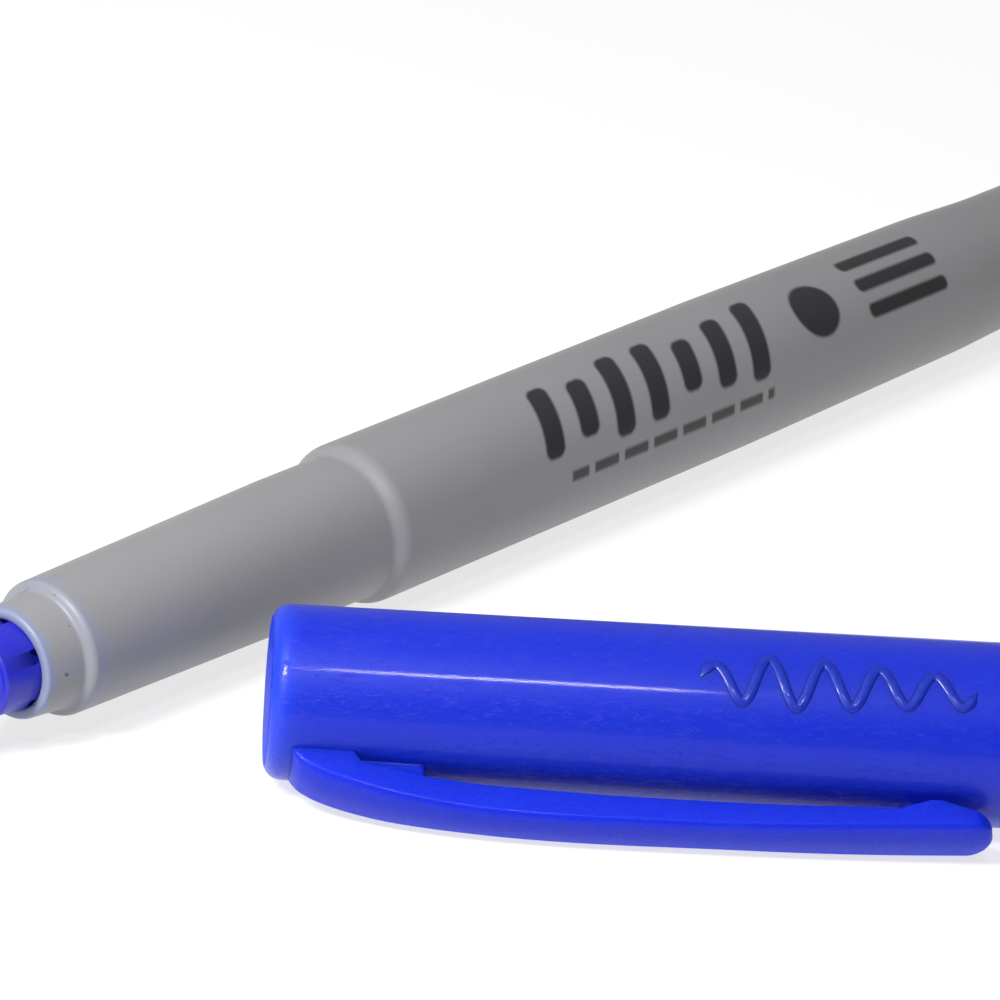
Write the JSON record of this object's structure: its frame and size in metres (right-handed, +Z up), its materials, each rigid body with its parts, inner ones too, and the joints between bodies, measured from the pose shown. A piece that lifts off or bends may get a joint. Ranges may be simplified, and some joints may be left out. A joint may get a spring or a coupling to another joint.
{
  "type": "fibre tip marker with clip cap",
  "caption": "Uncapped fine-point marker with a stepped grey barrel and blue nib holder, its blue clip cap lying beside it.",
  "frame": {"origin": "bottom centre of the whole object's box, on the surface it lies on", "axes": "+X along the barrel from nib to tail, +Z up, +Y from the cap's side towards the barrel"},
  "size_m": [0.1222, 0.0652, 0.0123],
  "materials": {
    "barrel_plastic": "satin moulded polypropylene",
    "holder_plastic": "satin, stained with ink",
    "nib_fibre": "bonded fibre soaked in dark ink",
    "reservoir_fibre": "fibre soaked in ink",
    "film": "thin clear film",
    "cap_plastic": "glossy moulded polypropylene with fine scratches"
  },
  "bodies": {
    "barrel": {"barrel": "barrel_plastic", "nib_holder": "holder_plastic", "nib": "nib_fibre", "ink_reservoir": "reservoir_fibre", "reservoir_film": "film", "tail_plug": "barrel_plastic"},
    "cap": {"cap": "cap_plastic"},
    "cap_clip": {"cap_clip": "cap_plastic"}
  },
  "joints": [
    {"name": "cap_slide", "type": "slide", "parent": "barrel", "child": "cap", "axis": [0.6972, -0.7169, 0], "range_m": [0, 0.032]},
    {"name": "clip_flex", "type": "hinge", "parent": "cap", "child": "cap_clip", "pos_m": [-0.03908, 0.00152, 0.00281], "axis": [0.3476, 0.338, -0.8746], "range_deg": [0, 3.5], "stiffness_Nm_per_rad": 1.2}
  ]
}
